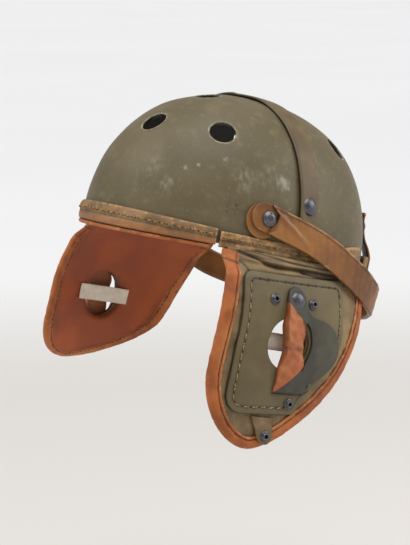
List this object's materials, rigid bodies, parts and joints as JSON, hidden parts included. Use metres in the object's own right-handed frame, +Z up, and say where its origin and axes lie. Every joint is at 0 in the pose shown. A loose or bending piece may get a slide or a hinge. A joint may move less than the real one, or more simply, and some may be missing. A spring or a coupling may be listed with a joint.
{
  "type": "tanker helmet",
  "caption": "Hard ventilated crew helmet with leather crown strap and rim bands, padded ear flaps with ear holes, neck guard and a chin strap parked round the back.",
  "frame": {"origin": "centre of the shell's rim, where a head holds the helmet", "axes": "+Z up with the helmet at the angle it is worn, -Y to the front, +X to the wearer's left"},
  "size_m": [0.2802, 0.2703, 0.2687],
  "materials": {
    "shell_paint": "eggshell olive drab paint over pressed fibre, scuffed",
    "painted_leather": "olive drab painted leather, worn",
    "tan_leather": "tan leather",
    "strap_leather": "saddle brown leather, worn at the edges",
    "keeper_leather": "grey-green leather with a tan flesh side",
    "gunmetal": "dark oxidised steel",
    "cotton_tape": "woven cotton tape"
  },
  "bodies": {
    "root": {"shell": "shell_paint", "crown_strap": "painted_leather", "crown_rivet_left": "gunmetal", "crown_rivet_right": "gunmetal", "brow_band": "painted_leather", "brow_lining": "tan_leather", "side_band_left": "painted_leather", "side_band_right": "painted_leather", "chin_strap": "strap_leather", "chin_backing_left": "strap_leather", "chin_backing_right": "strap_leather", "chin_rivet_left": "gunmetal", "chin_rivet_right": "gunmetal", "neck_guard": "painted_leather", "guard_strap_left": "strap_leather", "guard_strap_right": "strap_leather", "guard_snap_left": "gunmetal", "guard_snap_right": "gunmetal", "flap_left": "painted_leather", "flap_right": "painted_leather", "flap_lining_left": "tan_leather", "flap_lining_right": "tan_leather", "flap_binding_left": "tan_leather", "flap_binding_right": "tan_leather", "ear_plate_left": "painted_leather", "ear_plate_right": "painted_leather", "ear_keeper_left": "keeper_leather", "ear_keeper_right": "keeper_leather", "keeper_rivet_left": "gunmetal", "keeper_rivet_right": "gunmetal", "front_stud_left": "gunmetal", "front_stud_right": "gunmetal", "rear_stud_left": "gunmetal", "rear_stud_right": "gunmetal", "lower_stud_left": "gunmetal", "lower_stud_right": "gunmetal", "flap_tab_left": "painted_leather", "flap_tab_right": "painted_leather", "tab_stud_left": "gunmetal", "tab_stud_right": "gunmetal", "ear_tape_left": "cotton_tape", "ear_tape_right": "cotton_tape"}
  },
  "joints": []
}
